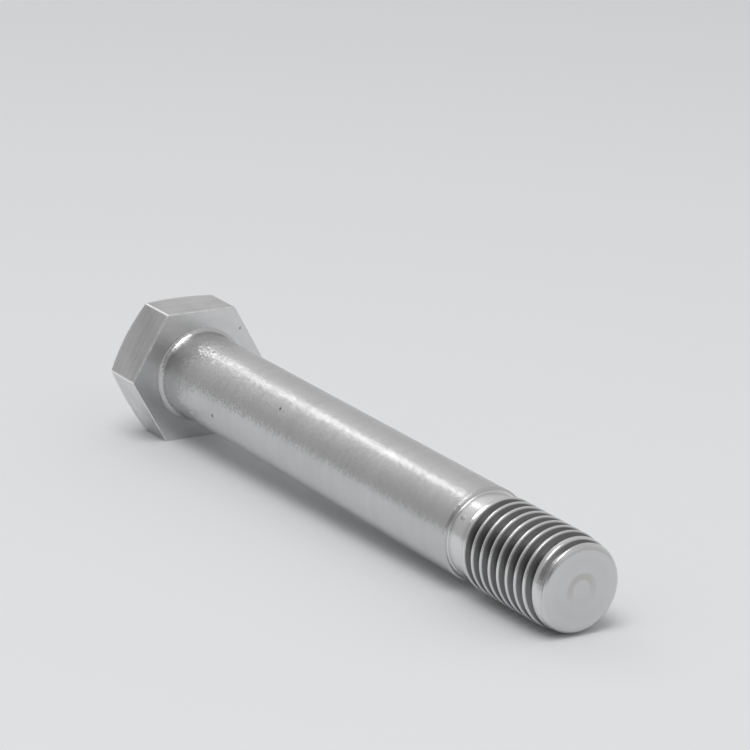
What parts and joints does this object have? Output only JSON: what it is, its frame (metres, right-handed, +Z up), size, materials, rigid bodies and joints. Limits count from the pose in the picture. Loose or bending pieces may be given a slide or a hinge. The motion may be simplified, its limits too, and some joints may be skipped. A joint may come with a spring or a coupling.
{
  "type": "shoulder bolt",
  "caption": "Hexagon head shoulder bolt: a plain ground shank that carries a turning or sliding part, a relief neck, and a short threaded end that fixes it.",
  "frame": {"origin": "on the surface that the bolt lies on, below the middle of its bounding box", "axes": "+X along the bolt as it lies, from head to tip, +Z up; the bolt's own axis dips 2 degrees towards the tip, as it rests on the head's lower front edge and the last crest of its thread"},
  "size_m": [0.098, 0.0208, 0.0183],
  "materials": {
    "steel": "satin turned stainless steel"
  },
  "bodies": {
    "root": {"shoulder_bolt": "steel"}
  },
  "joints": []
}
